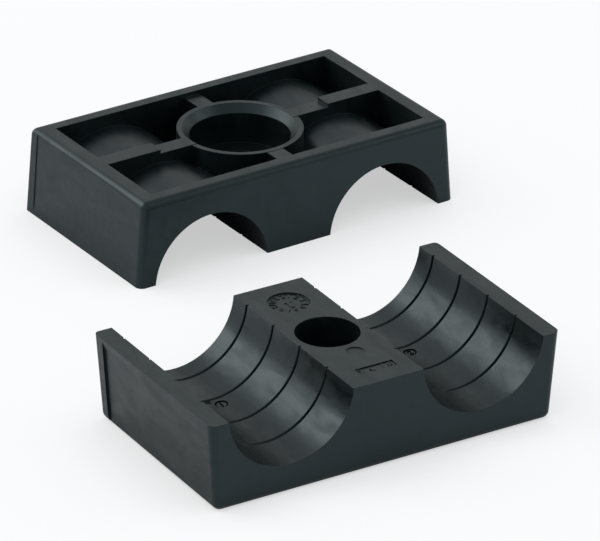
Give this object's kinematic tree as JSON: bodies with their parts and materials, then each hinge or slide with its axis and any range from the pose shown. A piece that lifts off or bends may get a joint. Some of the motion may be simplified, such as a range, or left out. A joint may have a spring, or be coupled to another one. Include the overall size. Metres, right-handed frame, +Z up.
{
  "type": "tube clamp",
  "caption": "Split moulded block that clamps parallel tubes, lying open: grooved round seats and bolt hole on one half, the other turned over to show its ribbed and pocketed back.",
  "frame": {"origin": "on the floor, at the middle of the outline of both halves together", "axes": "+Z up; +Y along the tubes of the lower half, away from the viewer; +X from the left seat of the lower half to the right one"},
  "size_m": [0.075, 0.0912, 0.0125],
  "materials": {
    "moulding": "satin black polypropylene"
  },
  "bodies": {
    "root": {"lower_half": "moulding", "upper_half": "moulding"}
  },
  "joints": []
}
